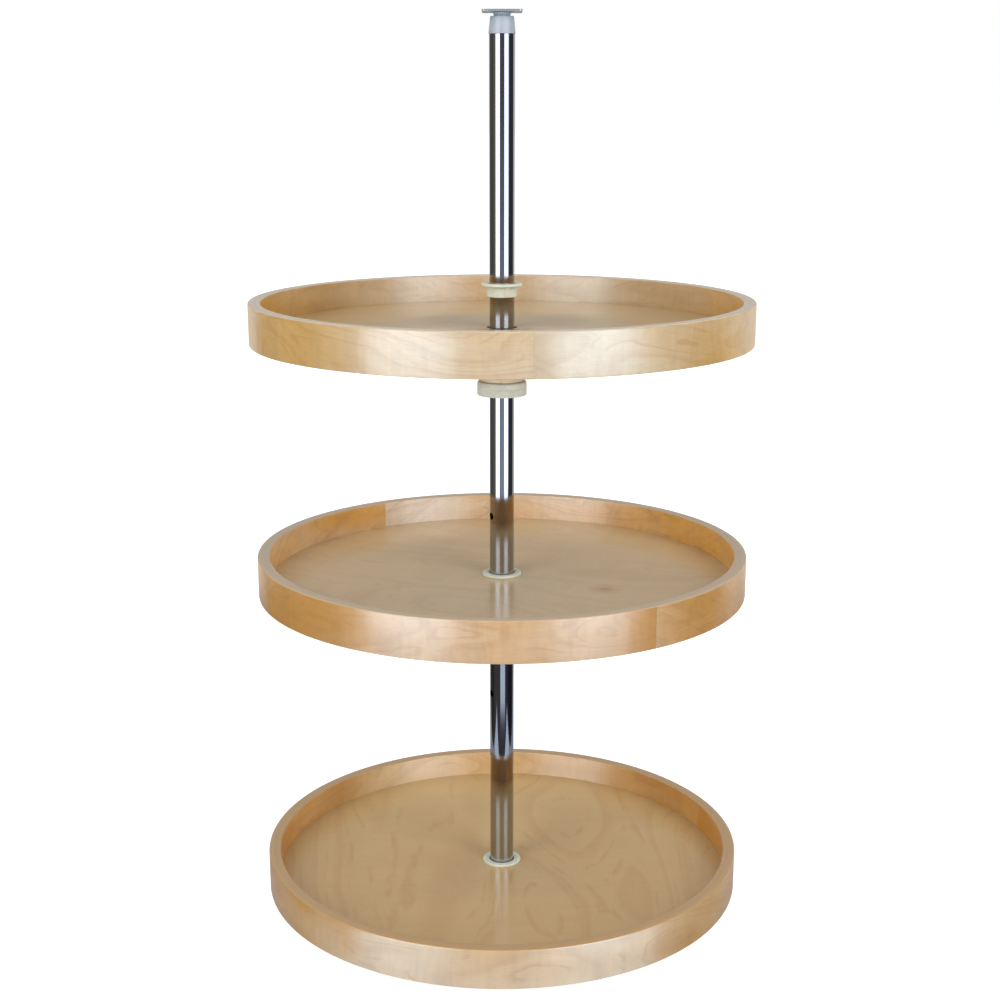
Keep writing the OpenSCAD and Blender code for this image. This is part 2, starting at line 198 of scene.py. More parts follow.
class Finishes(bpy.types.PropertyGroup):
    growth_line: colour(168, 108, 50, "Late wood in the veneers")
    chrome: colour(176, 178, 182, "Chrome plate")
    nylon: colour(215, 218, 202, "Nylon of the bushes")
    # Painted light: the collars' nylon is paler than the bushes' to make up for the shade under
    # the boards.
    pale_nylon: colour(242, 244, 231, "Nylon of the collars")
    # Painted light: the hubs' nylon is warmed to tan, standing in for light the boards bounce
    # into the shade under them.
    amber_nylon: colour(249, 230, 197, "Nylon of the hubs")
    cap: colour(170, 178, 190, "Grey-white plastic of the caps")
    pivot: colour(182, 203, 216, "Blue-grey plastic of the pivots")
    zinc: colour(226, 226, 220, "Zinc plate")
    steel: colour(188, 190, 194, "Bright steel")


# The pale veneers are greyed a little as painted highlight, so that the strips' painted sheen
# reads white.
WOODS = {
    "pale": "Pale veneer of the {} rim",
    "warm": "Warm veneer of the {} rim",
    "inner_pale": "Pale veneer inside the {} rim",
    "inner_warm": "Warm veneer inside the {} rim",
    "board": "Veneer of the {} board",
    "edge": "Cut edges of the {} shelf",
}
# Partly painted light: the boards' tones differ by shelf, the top board darker where most light
# falls and the middle one paler in the top shelf's shade.
WOOD_TONES = {
    "top": ((212, 190, 157), (207, 165, 95), (212, 182, 140), (190, 134, 18),
            (194, 166, 119), (215, 198, 171)),
    "middle": ((213, 176, 131), (196, 143, 68), (235, 207, 172), (231, 167, 56),
               (213, 186, 143), (203, 181, 150)),
    "bottom": ((219, 193, 156), (191, 140, 48), (230, 199, 148), (202, 133, 10),
               (203, 171, 118), (190, 154, 107)),
}
for shelf_name, shelf_tones in WOOD_TONES.items():
    for (wood, wood_note), wood_tone in zip(WOODS.items(), shelf_tones):
        Finishes.__annotations__[f"{shelf_name}_{wood}"] = colour(
            *wood_tone, wood_note.format(shelf_name))


class StudioSettings(bpy.types.PropertyGroup):
    lens: level(58.49, "Focal length in millimetres")
    shift: level(0.051, "Upward shift of the frame")
    camera_back: length(1.6464, "Distance of the camera from the post")
    camera_side: offset(-0.002, "Camera's offset from the post")
    camera_height: length(0.9043, "Height of the camera")
    camera_pitch: turn(15.218, "Tilt of the camera below the horizon")
    box_distance: length(2.6, "Distance of the softboxes from the post")
    light_foot: length(0.35, "Height where the softboxes' light begins")
    light_top: length(2.85, "Height where the softboxes' light ends")
    left_shine_foot: offset(-0.32, "Height where the left one's shine begins")
    right_shine_foot: offset(-0.1, "Height where the right one's begins")
    shine_top: length(2.2, "Height where their shine ends")
    light_turn: turn(42.0, "Direction of the softboxes' light from the camera's")
    light_width: length(1.5, "Width of the softboxes' light on matt surfaces")
    edge_width: length(1.88, "Width of the softboxes in reflections")
    left_edge_turn: turn(-39.7, "Direction of the left softbox from the camera's")
    left_core_turn: turn(-39.5, "Direction of the left softbox's bright core")
    left_core_width: length(1.67, "Width of the left softbox's bright core")
    right_edge_turn: turn(42.0, "Direction of the right softbox from the camera's")
    right_core_turn: turn(38.5, "Direction of the right softbox's bright core")
    right_core_width: length(1.58, "Width of the right softbox's bright core")
    light: level(3.75, "Brightness of the softboxes on matt surfaces")
    shine: level(2.0, "Brightness of the softboxes' cores in reflections")
    shine_edge: level(1.2, "Brightness of the softboxes' edges in reflections")
    shine_tint: colour(230, 241, 255, "Cool tint of the softboxes in reflections")
    surround: level(0.62, "Brightness of the studio on matt surfaces")
    side_light: level(1.05, "Brightness beside and behind the unit")
    backdrop: level(0.72, "Brightness of the backdrop in reflections")
    high_share: level(0.5, "Share of the studio's brightness high up")
    behind_low: level(0.12, "Share of the light low behind the unit")


# ---- Meshes ----


def low(node):
    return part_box(node)[0]


def high(node):
    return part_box(node)[1]


def extents(node):
    """A round node's radius, and the heights of its foot and its crown."""
    below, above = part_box(node)
    return above.x, below.z, above.z


def each_shelf(part):
    """That part of every shelf: its shelf, its node and its extents."""
    for shelf in SHELVES:
        node = f"{shelf}_{part}"
        yield shelf, node, *extents(node)


def bore_and_race(sizes):
    """Radius of a running bore on the post, and the radii of the ball race round it."""
    bore = high("post_tube").x + sizes.run_play
    race_in = bore + sizes.race_inset
    return bore, race_in, race_in + sizes.race_width


def round_off(bm, geom, ease, segments, kind):
    """Rounds corners or edges over, which kind tells apart as VERTICES or EDGES."""
    bmesh.ops.bevel(bm, geom=geom, offset=ease, offset_type="OFFSET", segments=segments,
                    profile=0.5, affect=kind, material=-1)


def turned(corners, steps, arc=FULL_TURN, start=0.0):
    """A turned piece. Corners are (radius, height, rounding) of its section."""
    bm = bmesh.new()
    section = [bm.verts.new((radius, 0.0, height)) for radius, height, _ in corners]
    bm.faces.new(section)
    for vert, (_, _, ease) in zip(section, corners):
        if ease:
            round_off(bm, [vert], ease, 4, "VERTICES")
    bmesh.ops.delete(bm, geom=bm.faces[:], context="FACES_ONLY")
    bmesh.ops.rotate(bm, verts=bm.verts, cent=CENTRE, matrix=Matrix.Rotation(start, 3, "Z"))
    whole = arc == FULL_TURN
    bmesh.ops.spin(bm, geom=bm.verts[:] + bm.edges[:], cent=CENTRE, axis=UP, dvec=CENTRE,
                   angle=arc, steps=steps, use_merge=whole, use_normal_flip=False,
                   use_duplicate=False)
    if not whole:
        bmesh.ops.holes_fill(bm, edges=[edge for edge in bm.edges if edge.is_boundary], sides=0)
    bmesh.ops.recalc_face_normals(bm, faces=bm.faces)
    return bm


def sink_ribs(bm, ribs, depth, is_ribbed, steps=2, sunk=(1,)):
    """Leaves upright ribs where is_ribbed(radius, height), by sinking some of the steps that
    each rib and its groove have."""
    for vert in bm.verts:
        spot = vert.co
        radius = math.hypot(spot.x, spot.y)
        step = round(math.atan2(spot.y, spot.x) / FULL_TURN * steps * ribs) % steps
        if step in sunk and is_ribbed(radius, spot.z):
            inward = (radius - depth) / radius
            spot.x *= inward
            spot.y *= inward


def linked(name, bm):
    """A new object of the scene, with that bmesh as its mesh."""
    mesh = bpy.data.meshes.new(name)
    bm.to_mesh(mesh)
    bm.free()
    piece = bpy.data.objects.new(name, mesh)
    bpy.context.scene.collection.objects.link(piece)
    return piece


def smooth(mesh, sharp=SHARP):
    """Shades a mesh smooth, up to edges as sharp as that many degrees."""
    mesh.shade_smooth()
    mesh.set_sharp_from_angle(angle=math.radians(sharp))


def to_object(name, bm, *finishes, sharp=SHARP):
    """A finished piece. Its faces' material indices count through the named finishes."""
    piece = linked(name, bm)
    for finish in finishes:
        piece.data.materials.append(bpy.data.materials[finish])
    smooth(piece.data, sharp)
    return piece


def dress(piece, node):
    """Puts a finished piece in a CAD node's place."""
    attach(piece, BODY_OF[node])
    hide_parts(node)
    return piece


def drill(piece, cutter):
    """Cuts a bmesh cutter out of a piece for good."""
    tool = linked("cutter", cutter)
    cut = piece.modifiers.new("Cut", "BOOLEAN")
    cut.operation = "DIFFERENCE"
    cut.solver = "EXACT"
    cut.object = tool
    bpy.context.view_layer.update()
    graph = bpy.context.evaluated_depsgraph_get()
    result = bpy.data.meshes.new_from_object(piece.evaluated_get(graph), depsgraph=graph)
    piece.modifiers.remove(cut)
    piece.data = result
    spent = tool.data
    bpy.data.objects.remove(tool)
    bpy.data.meshes.remove(spent)
    smooth(result)
    return piece


def add_rod(bm, radius, start, end, segments=ROD_STEPS):
    """Adds a straight round rod between two points."""
    start, end = Vector(start), Vector(end)
    along = end - start
    middle = Matrix.Translation((start + end) / 2)
    matrix = middle @ along.to_track_quat("Z", "Y").to_matrix().to_4x4()
    bmesh.ops.create_cone(bm, cap_ends=True, cap_tris=False, segments=segments,
                          radius1=radius, radius2=radius, depth=along.length, matrix=matrix)


def add_bar(bm, size, matrix):
    """Adds a square-edged bar of that size."""
    bmesh.ops.create_cube(bm, size=1.0, matrix=matrix @ Matrix.Diagonal((*size, 1.0)))


def map_strip(bm, seam, inner_radius, foot):
    """Unrolls a hoop: U is metres along the strip from its seam, V is metres across it."""
    layer = bm.loops.layers.uv.new("Grain")
    for face in bm.faces:
        upright = abs(face.normal.z) < LYING
        for loop in face.loops:
            spot = loop.vert.co
            angle = (math.atan2(spot.y, spot.x) - seam) % FULL_TURN
            radius = math.hypot(spot.x, spot.y)
            across = spot.z - foot if upright else radius - inner_radius
            loop[layer].uv = (angle * radius, across)
        face.material_index = 0 if upright else 1


# ---- Shader nodes ----


class Sketch:
    """Lays out the nodes of a material or of a node group."""

    def __init__(self, tree):
        self.tree = tree
        tree.nodes.clear()

    def node(self, kind, inputs=None, **settings):
        made = self.tree.nodes.new(f"ShaderNode{kind}")
        for key, value in settings.items():
            setattr(made, key, value)
        for key, value in (inputs or {}).items():
            if isinstance(value, bpy.types.NodeSocket):
                self.tree.links.new(value, made.inputs[key])
            else:
                made.inputs[key].default_value = value
        return made

    def maths(self, operation, *values, clamp=False):
        return self.node("Math", dict(enumerate(values)), operation=operation,
                         use_clamp=clamp).outputs[0]

    def times(self, first, second):
        return self.maths("MULTIPLY", first, second)

    def plus(self, first, second):
        return self.maths("ADD", first, second)

    def ramp(self, value, start, end, low_value=0.0, high_value=1.0):
        return self.node("MapRange", {
            "Value": value, "From Min": start, "From Max": end,
            "To Min": low_value, "To Max": high_value,
        }, interpolation_type="SMOOTHSTEP").outputs[0]

    def blend(self, factor, first, second, mode="MIX"):
        return self.node("Mix", {0: factor, 6: first, 7: second}, data_type="RGBA",
                         blend_type=mode).outputs[2]

    def shade(self, tint, share):
        """A colour times one number."""
        return self.blend(1.0, tint, self.triple(share, share, share), "MULTIPLY")

    def noise(self, vector, scale=1.0, detail=2.0, roughness=0.5, distortion=0.0):
        return self.node("TexNoise", {
            "Vector": vector, "Scale": scale, "Detail": detail, "Roughness": roughness,
            "Distortion": distortion,
        }).outputs[0]

    def stops(self, value, stops):
        """A colour that changes between (position, red, green, blue) stops."""
        made = self.node("ValToRGB", {0: value})
        elements = made.color_ramp.elements
        for index, (position, *tint) in enumerate(stops):
            element = elements[index] if index < 2 else elements.new(position)
            element.position = position
            element.color = (*tint, 1.0)
        return made.outputs[0]

    def triple(self, x, y, z):
        return self.node("CombineXYZ", {0: x, 1: y, 2: z}).outputs[0]

    def split(self, vector):
        return self.node("SeparateXYZ", {0: vector}).outputs[:3]

    def bump(self, height, strength, distance):
        return self.node("Bump", {"Height": height, "Strength": strength,
                                  "Distance": distance}).outputs[0]

    def unrolled(self):
        return self.node("UVMap", uv_map="Grain").outputs[0]

    def seen(self, path):
        """1 for rays from the eye, also through clear pieces, and 0 for the others."""
        return self.maths("MAXIMUM", path["Is Camera Ray"], path["Is Transmission Ray"])

    def object_place(self, turn_z=0.0, shift=CENTRE):
        own = self.node("TexCoord").outputs["Object"]
        return self.mapped(own, turn_z, shift)

    def mapped(self, vector, turn_z, shift=CENTRE):
        return self.node("Mapping", {
            "Vector": vector, "Location": shift, "Rotation": (0.0, 0.0, turn_z),
        }).outputs[0]

    def mottle(self, size):
        """The Smudge and Grain of the mottle group, at the piece's own place."""
        return self.node("Group", {0: self.object_place(), 1: size},
                         node_tree=bpy.data.node_groups["Fine mottle"]).outputs


def node_group(name, inputs, outputs):
    """An empty shader group with named sockets, and its inputs and its output node."""
    tree = bpy.data.node_groups.new(name, "ShaderNodeTree")
    for socket, kind in inputs.items():
        tree.interface.new_socket(name=socket, in_out="INPUT", socket_type=kind)
    for socket, kind in outputs.items():
        tree.interface.new_socket(name=socket, in_out="OUTPUT", socket_type=kind)
    sketch = Sketch(tree)
    given = tree.nodes.new("NodeGroupInput").outputs
    return sketch, given, tree.nodes.new("NodeGroupOutput").inputs


def birch_figure():
    """Growth lines, broad tone, pores, cross-grain curl and slanting flame of peeled birch."""
    number, vector = "NodeSocketFloat", "NodeSocketVector"
    sketch, given, out = node_group(
        "Birch figure",
        {"Grain": vector, "Size": vector, "Wander": number, "Seed": number},
        {"Lines": number, "Tone": number, "Pores": number, "Curl": number, "Flame": number})
    along, across, _ = sketch.split(given["Grain"])
    wide, tall, _ = sketch.split(sketch.node("VectorMath", {
        0: given["Grain"], 1: given["Size"]}, operation="DIVIDE").outputs[0])

    def stretched(x, x_scale, y, y_scale, shift, detail=2.0):
        place = sketch.triple(sketch.times(x, x_scale), sketch.times(y, y_scale),
                              sketch.plus(given["Seed"], shift))
        return sketch.noise(place, detail=detail)

    def late_wood(turns, edge, sharpness):
        """Darkens slowly through each turn of the growth count, and clears at once."""
        phase = sketch.maths("FRACT", turns)
        darken = sketch.maths("POWER", sketch.ramp(phase, 0.2, edge), sharpness)
        return sketch.times(darken, sketch.ramp(phase, edge, 1.0, 1.0, 0.0))

    hills = sketch.times(stretched(wide, 6.0, tall, 20.0, 0.0, 1.0), given["Wander"])
    ripple = sketch.times(stretched(wide, 32.0, tall, 110.0, 3.0), 0.3)
    rise = sketch.times(tall, 14.0)
    growth = sketch.plus(sketch.plus(rise, hills), ripple)
    broad = sketch.times(late_wood(growth, 0.88, 5.0), 0.7)
    hair = late_wood(sketch.times(growth, 2.6), 0.9, 9.0)
    kept = sketch.ramp(stretched(along, 14.0, across, 60.0, 5.0), 0.42, 0.6)
    streak = sketch.times(stretched(along, 170.0, across, 34.0, 29.0), 0.3)
    band = sketch.times(stretched(along, 26.0, across, 7.0, 23.0), 0.4)
    fibre = sketch.times(stretched(along, 55.0, across, 1000.0, 37.0), 0.3)
    slope = sketch.ramp(stretched(along, 4.0, across, 0.0, 41.0, 0.0), 0.35, 0.65, -1.7, 1.7)
    leaning = sketch.plus(along, sketch.times(across, slope))
    links = sketch.tree.links
    links.new(sketch.maths("MAXIMUM", broad, sketch.times(hair, kept)), out["Lines"])
    links.new(stretched(wide, 7.0, tall, 24.0, 11.0), out["Tone"])
    pores = stretched(along, 170.0, across, 1500.0, 17.0, 1.0)
    links.new(sketch.ramp(pores, 0.58, 0.74), out["Pores"])
    links.new(sketch.plus(sketch.plus(band, streak), fibre), out["Curl"])
    flame = stretched(leaning, 110.0, across, 24.0, 47.0, 3.0)
    links.new(sketch.ramp(flame, 0.5, 0.68), out["Flame"])
    return sketch.tree


def fine_mottle():
    """Slight unevenness that handling and moulding leave: a mask and a finer grain."""
    number = "NodeSocketFloat"
    sketch, given, out = node_group(
        "Fine mottle", {"Place": "NodeSocketVector", "Size": number},
        {"Smudge": number, "Grain": number})
    broad = sketch.maths("DIVIDE", 1.0, given["Size"])
    fine = sketch.times(broad, 14.0)
    smudge = sketch.noise(given["Place"], broad, 3.0, 0.6, 0.4)
    sketch.tree.links.new(sketch.ramp(smudge, 0.35, 0.7), out["Smudge"])
    sketch.tree.links.new(sketch.noise(given["Place"], fine, 2.0), out["Grain"])
    return sketch.tree


# How warm a strip is along its length: (share of the way round from its seam, warmth). This is
# partly the veneer's own tone and partly painted sheen: pale where the softboxes' highlights fall
# in the front view, warm and saturated where none fall.
STRIP_TONE_AND_SHEEN = {
    ("top", "outer"): ((0.0, 0.0), (0.07, 0.1), (0.09, 0.3), (0.115, 0.8), (0.2, 0.85),
                       (0.5, 0.5), (0.8, 0.9), (0.85, 0.95), (0.868, 0.75), (0.9, 0.25),
                       (0.93, 0.15), (1.0, 0.3)),
    ("top", "inner"): ((0.0, 0.1), (0.08, 0.33), (0.125, 0.83), (0.17, 0.95), (0.25, 0.9),
                       (0.5, 0.5), (0.74, 0.75), (0.82, 0.1), (0.9, 0.0), (1.0, 0.1)),
    ("middle", "outer"): ((0.0, 0.05), (0.009, 0.35), (0.03, 0.7), (0.06, 0.75), (0.14, 0.9),
                          (0.5, 0.5), (0.7, 0.8), (0.775, 1.0), (0.8, 0.7), (0.82, 0.35),
                          (0.87, 0.05), (0.903, 0.25), (0.93, 0.1), (0.955, 0.0), (0.978, 0.4),
                          (0.985, 1.0), (1.0, 1.0)),
    ("middle", "inner"): ((0.0, 0.7), (0.1, 0.8), (0.2, 0.9), (0.5, 0.5), (0.66, 1.0),
                          (0.72, 0.9), (0.8, 0.25), (0.9, 0.05), (1.0, 0.15)),
    ("bottom", "outer"): ((0.0, 1.0), (0.045, 1.0), (0.065, 0.7), (0.09, 0.65), (0.105, 0.1),
                          (0.2, 0.15), (0.288, 0.1), (0.302, 0.65), (0.33, 0.75), (0.36, 0.75),
                          (0.42, 0.75), (0.7, 0.5), (1.0, 1.0)),
    ("bottom", "inner"): ((0.0, 0.9), (0.05, 0.7), (0.07, 0.6), (0.11, 0.15), (0.2, 0.1),
                          (0.29, 0.36), (0.322, 0.8), (0.36, 0.95), (0.47, 1.0), (0.7, 0.5),
                          (0.94, 1.0), (1.0, 1.0)),
}


def open_nodes(block):
    """Empties the node tree of a new material or world."""
    block.use_nodes = True
    return Sketch(block.node_tree)


def new_material(name):
    return open_nodes(bpy.data.materials.new(name))


def close_material(sketch, **sockets):
    """Ends a material in one Principled shader."""
    inputs = {key.replace("_", " "): value for key, value in sockets.items()}
    shader = sketch.node("BsdfPrincipled", inputs)
    sketch.node("OutputMaterial", {"Surface": shader.outputs[0]})


def rgba(value):
    return (*value, 1.0)


def knot_mask(sketch, centre, tone):
    """A small dark eye in a brown spot with a broken edge."""
    off = sketch.node("VectorMath", {0: sketch.object_place(), 1: centre},
                      operation="DISTANCE").outputs["Value"]
    broken = sketch.maths("MULTIPLY_ADD", tone, 0.02, off)
    spot = sketch.times(sketch.ramp(broken, 0.014, 0.032, 1.0, 0.0), 0.35)
    eye = sketch.times(sketch.ramp(off, 0.001, 0.007, 1.0, 0.0), 0.35)
    return sketch.plus(spot, eye)


def lacquered_veneer(name, grain_of, pale, warm, growth, size, wander, seed, line, flame,
                     curl, tone_and_sheen, knot=None, **finish):
    """Birch veneer under satin lacquer. grain_of gives its place along and across the grain,
    and tone_and_sheen lists how warm the wood is along the whole length of a hoop's strip,
    partly its own tone and partly painted sheen that pales it where highlights fall."""
    sketch = new_material(name)
    grain = grain_of(sketch)
    figure = sketch.node("Group", {
        0: grain, 1: (size, size, size), 2: wander, 3: seed,
    }, node_tree=bpy.data.node_groups["Birch figure"]).outputs
    around = sketch.maths("DIVIDE", sketch.split(grain)[0], FULL_TURN * high("top_outer_hoop").x)
    # Painted sheen: these stops pale the wood where the softboxes' highlights fall and warm it
    # where none fall, besides its own tone.
    broad = sketch.stops(around, [(place, share, share, share) for place, share in tone_and_sheen])
    local = sketch.ramp(figure["Tone"], 0.3, 0.7, -0.25, 0.25)
    wood = sketch.blend(sketch.maths("ADD", broad, local, clamp=True), rgba(pale), rgba(warm))
    for mark, share in (("Lines", line), ("Flame", flame)):
        wood = sketch.blend(sketch.times(figure[mark], share), wood, rgba(growth))
    if knot:
        wood = sketch.blend(knot_mask(sketch, knot, figure["Tone"]), wood, rgba(growth))
    wood = sketch.blend(sketch.times(figure["Pores"], 0.16), wood, rgba(growth))
    wood = sketch.shade(wood, sketch.ramp(figure["Curl"], 0.35, 0.65, 1.0 - curl, 1.0 + curl))
    relief = sketch.plus(sketch.times(figure["Pores"], -0.6), figure["Curl"])
    if "Anisotropic" in finish:
        finish["Tangent"] = sketch.node("Tangent", direction_type="UV_MAP",
                                        uv_map="Grain").outputs[0]
    close_material(sketch, Base_Color=wood, Coat_IOR=1.5,
                   Normal=sketch.bump(relief, 0.12, 0.0003), **finish)


def strip_grain(slant):
    """Grain along a hoop, from its own unrolled map."""
    return lambda sketch: sketch.mapped(sketch.unrolled(), slant)


def board_grain(turn_z, shift):
    """Grain across a board, turned to the direction of its veneer."""
    return lambda sketch: sketch.object_place(turn_z, shift)


def ply_edge(name, tone, unrolled):
    """Cut edge of plywood: fine plies, stacked across a hoop or up a board."""
    sketch = new_material(name)
    stack = (sketch.split(sketch.unrolled())[1] if unrolled
             else sketch.split(sketch.object_place())[2])
    plies = sketch.maths("PINGPONG", sketch.maths("DIVIDE", stack, PLY), 1.0)
    joint = sketch.ramp(plies, 0.0, 0.16, 1.0, 0.0)
    mottle = sketch.mottle(0.012)
    darker = tuple(part * 0.62 for part in tone)
    layered = sketch.blend(sketch.ramp(plies, 0.35, 0.65, 0.0, 0.3), rgba(tone), rgba(darker))
    glued = sketch.blend(sketch.times(joint, 0.7), layered, rgba(darker))
    uneven = sketch.ramp(mottle["Grain"], 0.25, 0.75, 0.93, 1.05)
    close_material(sketch, Base_Color=sketch.shade(glued, uneven), Roughness=0.55,
                   Coat_Weight=1.0, Coat_Roughness=0.24, Coat_IOR=1.5,
                   Normal=sketch.bump(mottle["Grain"], 0.15, 0.0002))


def metal(name, tone, roughness, smudge, size):
    """Bare or plated metal with slight smudges, which are about that size in metres."""
    sketch = new_material(name)
    mottle = sketch.mottle(size)
    dull = sketch.ramp(mottle["Smudge"], 0.0, 1.0, roughness, roughness + smudge)
    dimmer = tuple(part * (1.0 - smudge) for part in tone)
    close_material(sketch, Base_Color=sketch.blend(mottle["Smudge"], rgba(tone), rgba(dimmer)),
                   Metallic=1.0, Roughness=dull)


def brushed_metal(name, tone):
    """Rolled and plated sheet with fine brush lines."""
    sketch = new_material(name)
    along, across, upward = sketch.split(sketch.object_place(math.radians(20.0)))
    drawn = sketch.triple(sketch.times(along, 60.0), sketch.times(across, 2400.0), upward)
    lines = sketch.noise(drawn, detail=2.0)
    dimmer = tuple(part * 0.8 for part in tone)
    close_material(sketch, Base_Color=sketch.blend(lines, rgba(tone), rgba(dimmer)), Metallic=1.0,
                   Roughness=sketch.ramp(lines, 0.2, 0.8, 0.3, 0.46),
                   Normal=sketch.bump(lines, 0.1, 0.0001))


def moulded_plastic(name, tone, roughness, depth):
    """Moulded plastic with a faint grain and a soft inner glow."""
    sketch = new_material(name)
    mottle = sketch.mottle(0.011)
    duller = tuple(part * 0.9 for part in tone)
    close_material(sketch, Base_Color=sketch.blend(mottle["Smudge"], rgba(tone), rgba(duller)),
                   Roughness=sketch.ramp(mottle["Grain"], 0.3, 0.7, roughness, roughness + 0.1),
                   Subsurface_Weight=depth, Subsurface_Scale=0.002,
                   Subsurface_Radius=(1.0, 0.9, 0.7),
                   Normal=sketch.bump(mottle["Grain"], 0.12, 0.0002))


# Each shelf's slant, seed, flame and loops of its strips' grain, then the direction and the
# width of its board's grain, how much its lines show, and its lacquer's roughness.
GRAIN = {
    "bottom": {"slant": 0.02, "seed": 4.0, "flame": 0.05, "loops": 1.7,
               "turn": 1.45, "width": 3.4, "line": 0.2, "polish": 0.22},
    "middle": {"slant": -0.03, "seed": 9.5, "flame": 0.17, "loops": 1.0,
               "turn": 0.35, "width": 2.4, "line": 0.12, "polish": 0.22},
    "top": {"slant": 0.015, "seed": 1.3, "flame": 0.11, "loops": 1.2,
            "turn": -0.2, "width": 2.4, "line": 0.14, "polish": 0.15},
}
KNOTS = {"middle": (0.105, -0.057, high("middle_floor_panel").z)}
EVEN_WARMTH = ((0.0, 0.5), (1.0, 0.5))


class PANTRY_OT_mix_finishes(bpy.types.Operator):
    """Mixes the veneers, metals and plastics"""

    bl_idname = "pantry.mix_finishes"
    bl_label = "Mix finishes"

    def execute(self, context):
        tones = context.scene.pantry_finishes
        birch_figure()
        fine_mottle()
        for shelf in SHELVES:
            self.rim_veneers(tones, shelf, **GRAIN[shelf])
        for shelf in SHELVES:
            self.board_veneer(tones, shelf, **GRAIN[shelf])
            edge = getattr(tones, f"{shelf}_edge")
            ply_edge(f"{shelf} rim ply edge", edge, True)
            ply_edge(f"{shelf} board ply edge", edge, False)
        metal("Chrome plate", tones.chrome, roughness=0.055, smudge=0.012, size=0.09)
        metal("Bright steel", tones.steel, roughness=0.16, smudge=0.12, size=0.01)
        brushed_metal("Zinc plate", tones.zinc)
        for name, tone, roughness, depth in (
                ("Natural nylon", tones.nylon, 0.42, 0.15),
                # The collars' nylon is painted lighter against the shade under the boards.
                ("Pale nylon", tones.pale_nylon, 0.45, 0.1),
                # The hubs' nylon is painted warm, as by light bounced from the wood.
                ("Amber nylon", tones.amber_nylon, 0.45, 0.1),
                ("Cap plastic", tones.cap, 0.36, 0.1),
                ("Pivot plastic", tones.pivot, 0.38, 0.05)):
            moulded_plastic(name, tone, roughness, depth)
        return {"FINISHED"}

    def rim_veneers(self, tones, shelf, slant, seed, flame, loops, **_):
        for side, prefix, shift in (("outer", shelf, 0.0), ("inner", f"{shelf}_inner", 31.0)):
            lacquered_veneer(
                f"{shelf} {side} veneer", strip_grain(slant), getattr(tones, f"{prefix}_pale"),
                getattr(tones, f"{prefix}_warm"), tones.growth_line, size=loops, wander=7.0,
                seed=seed + shift, line=0.26, flame=flame, curl=0.07,
                tone_and_sheen=STRIP_TONE_AND_SHEEN[shelf, side], Roughness=0.38, IOR=1.76,
                Specular_IOR_Level=1.0, Specular_Tint=(0.56, 0.84, 1.0, 1.0),
                Anisotropic=0.85, Anisotropic_Rotation=0.25, Coat_Weight=0.3,
                Coat_Roughness=0.15)

    def board_veneer(self, tones, shelf, seed, turn, width, line, polish, **_):
        tone = getattr(tones, f"{shelf}_board")
        lacquered_veneer(
            f"{shelf} board veneer", board_grain(turn, (0.3, seed * 0.1, 0.0)), tone,
            tuple(part * 0.86 for part in tone), tones.growth_line, size=width, wander=9.0,
            seed=seed + 50.0, line=line, flame=0.0, curl=0.03, tone_and_sheen=EVEN_WARMTH,
            knot=KNOTS.get(shelf), Roughness=0.5, Specular_IOR_Level=0.25, Coat_Weight=1.0,
            Coat_Roughness=polish)


# ---- Pieces ----


class PANTRY_OT_bend_hoops(bpy.types.Operator):
    """Bends the two hoops of every rim"""

    bl_idname = "pantry.bend_hoops"
    bl_label = "Bend hoops"

    def execute(self, context):
        sizes = context.scene.pantry_shelves
        for shelf in SHELVES:
            seam = getattr(sizes, f"{shelf}_seam")
            inner_out = high(f"{shelf}_inner_hoop").x
            board_out = high(f"{shelf}_floor_panel").x
            self.bend(sizes, shelf, "outer", seam, inner_out + sizes.glue_film)
            self.bend(sizes, shelf, "inner", seam + math.pi, board_out + sizes.glue_film)
        return {"FINISHED"}

    def bend(self, sizes, shelf, side, seam, inner_radius):
        node = f"{shelf}_{side}_hoop"
        outer_radius, foot, crown = extents(node)
        half_gap = sizes.seam_gap / (2 * outer_radius)
        if side == "outer":
            eases = (0.0, sizes.foot_ease, sizes.rim_ease, 0.0)
        else:
            eases = (0.0, 0.0, 0.0, sizes.rim_ease)
        corners = [(inner_radius, foot), (outer_radius, foot),
                   (outer_radius, crown), (inner_radius, crown)]
        bm = turned([(*corner, ease) for corner, ease in zip(corners, eases)], sizes.steps,
                    FULL_TURN - 2 * half_gap, seam + half_gap)
        map_strip(bm, seam, inner_radius, foot)
        dress(to_object(f"{shelf}_{side}_rim", bm, f"{shelf} {side} veneer",
                        f"{shelf} rim ply edge", sharp=RIM_SHARP), node)


class PANTRY_OT_cut_boards(bpy.types.Operator):
    """Cuts the round boards that the rims stand round"""

    bl_idname = "pantry.cut_boards"
    bl_label = "Cut boards"

    def execute(self, context):
        sizes = context.scene.pantry_shelves
        for shelf, node, radius, foot, face in each_shelf("floor_panel"):
            ease = sizes.board_ease
            bm = turned([(sizes.board_hole, foot, ease), (radius, foot, 0.0),
                         (radius, face, 0.0), (sizes.board_hole, face, ease)], sizes.steps)
            for side in bm.faces:
                side.material_index = 0 if abs(side.normal.z) > LYING else 1
            dress(to_object(f"{shelf}_board", bm, f"{shelf} board veneer",
                            f"{shelf} board ply edge"), node)
        return {"FINISHED"}


